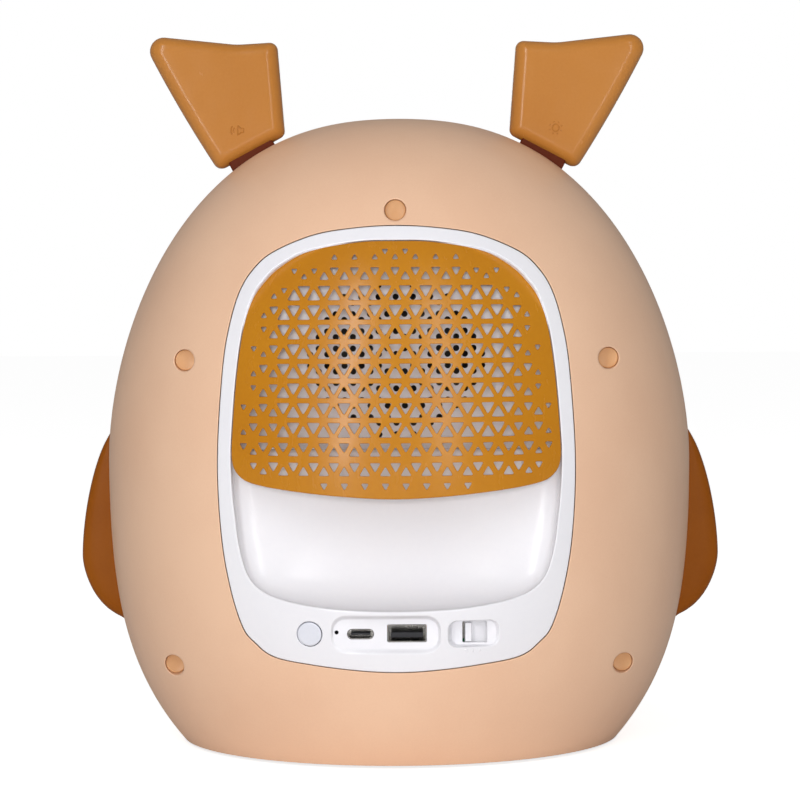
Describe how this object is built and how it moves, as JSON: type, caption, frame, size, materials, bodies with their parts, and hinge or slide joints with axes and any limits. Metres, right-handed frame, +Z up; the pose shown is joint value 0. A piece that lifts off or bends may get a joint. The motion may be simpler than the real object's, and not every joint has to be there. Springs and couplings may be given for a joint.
{
  "type": "kids bluetooth speaker",
  "caption": "Owl-shaped bluetooth speaker and night light for a child, with rocking ears, a rear grille, a finger recess and a row of sockets and switches.",
  "frame": {"origin": "on the floor under the middle of the round body", "axes": "+Z up; -Y is the way the owl's face looks; +Y is the rear with the grille and the sockets; +X is the owl's own left, which is at the left of the picture"},
  "size_m": [0.2404, 0.22, 0.2628],
  "materials": {
    "beige_plastic": "satin",
    "caramel_plastic": "satin",
    "caramel_gloss": "gloss",
    "brown_plastic": "satin",
    "dark_brown_plastic": "satin",
    "white_gloss": "gloss",
    "grey_white_plastic": "satin",
    "cream_plastic": "satin",
    "lens_brown": "gloss",
    "black_plastic": "matte",
    "steel": "brushed",
    "socket_steel": "polished",
    "ferrite": "matte",
    "copper": "bright",
    "rubber": "matte",
    "gasket_foam": "matte",
    "cone_paper": "matte",
    "spider_cloth": "woven",
    "circuit_board": "solder mask",
    "cell_wrap": "shrink wrap",
    "lead_red": "insulation"
  },
  "bodies": {
    "housing": {"rear_shell": "beige_plastic", "front_shell": "beige_plastic", "base_plate": "beige_plastic", "rubber_feet": "rubber", "base_screws": "steel", "case_screws": "steel", "screw_plugs": "caramel_plastic", "rear_panel": "white_gloss", "rear_grille": "caramel_gloss", "power_switch": "black_plastic", "reset_switch": "black_plastic", "mode_switch": "socket_steel", "usb_c_shell": "socket_steel", "usb_c_tongue": "black_plastic", "usb_a_shell": "socket_steel", "usb_a_tongue": "grey_white_plastic", "socket_board": "circuit_board", "socket_board_screws": "steel", "ear_pin_left": "steel", "ear_spring_left": "steel", "ear_bracket_left": "black_plastic", "ear_switches_left": "black_plastic", "ear_pin_right": "steel", "ear_spring_right": "steel", "ear_bracket_right": "black_plastic", "ear_switches_right": "black_plastic", "ear_bracket_screws": "steel", "wing_left": "brown_plastic", "wing_right": "brown_plastic", "wing_screws": "steel", "driver_basket": "black_plastic", "driver_gasket": "gasket_foam", "driver_surround": "gasket_foam", "driver_spider": "spider_cloth", "driver_top_plate": "steel", "driver_magnet": "ferrite", "driver_yoke": "steel", "driver_screws": "steel", "battery_tray": "black_plastic", "battery_cells": "cell_wrap", "main_board": "circuit_board", "board_parts": "black_plastic", "board_screws": "steel", "face_plate": "cream_plastic", "eye_rings": "caramel_plastic", "eye_lenses": "lens_brown", "light_board": "circuit_board", "wiring": "lead_red"},
    "ear_left": {"ear_rear_left": "caramel_plastic", "ear_front_left": "cream_plastic", "ear_lever_left": "dark_brown_plastic"},
    "ear_right": {"ear_rear_right": "caramel_plastic", "ear_front_right": "cream_plastic", "ear_lever_right": "dark_brown_plastic"},
    "power_button": {"power_button": "grey_white_plastic"},
    "mode_knob": {"mode_knob": "grey_white_plastic", "mode_slider": "black_plastic"},
    "cone": {"driver_cone": "cone_paper", "dust_cap": "cone_paper", "voice_coil": "copper"}
  },
  "joints": [
    {"name": "ear_tilt_left", "type": "hinge", "parent": "housing", "child": "ear_left", "pos_m": [0.04828, 0, 0.2072], "axis": [0.8838, 0, -0.4679], "range_deg": [-6, 6], "stiffness_Nm_per_rad": 0.5},
    {"name": "ear_tilt_right", "type": "hinge", "parent": "housing", "child": "ear_right", "pos_m": [-0.04828, 0, 0.2072], "axis": [-0.8838, 0, -0.4679], "range_deg": [-6, 6], "stiffness_Nm_per_rad": 0.5},
    {"name": "power_press", "type": "slide", "parent": "housing", "child": "power_button", "axis": [0, -1, 0], "range_m": [0, 0.0006], "stiffness_N_per_m": 2000},
    {"name": "mode_slide", "type": "slide", "parent": "housing", "child": "mode_knob", "axis": [-1, 0, 0], "range_m": [0, 0.005]},
    {"name": "cone_travel", "type": "slide", "parent": "housing", "child": "cone", "axis": [0, 1, 0], "range_m": [-0.001, 0.001], "stiffness_N_per_m": 1500, "deforming": ["driver_surround", "driver_spider"]}
  ]
}
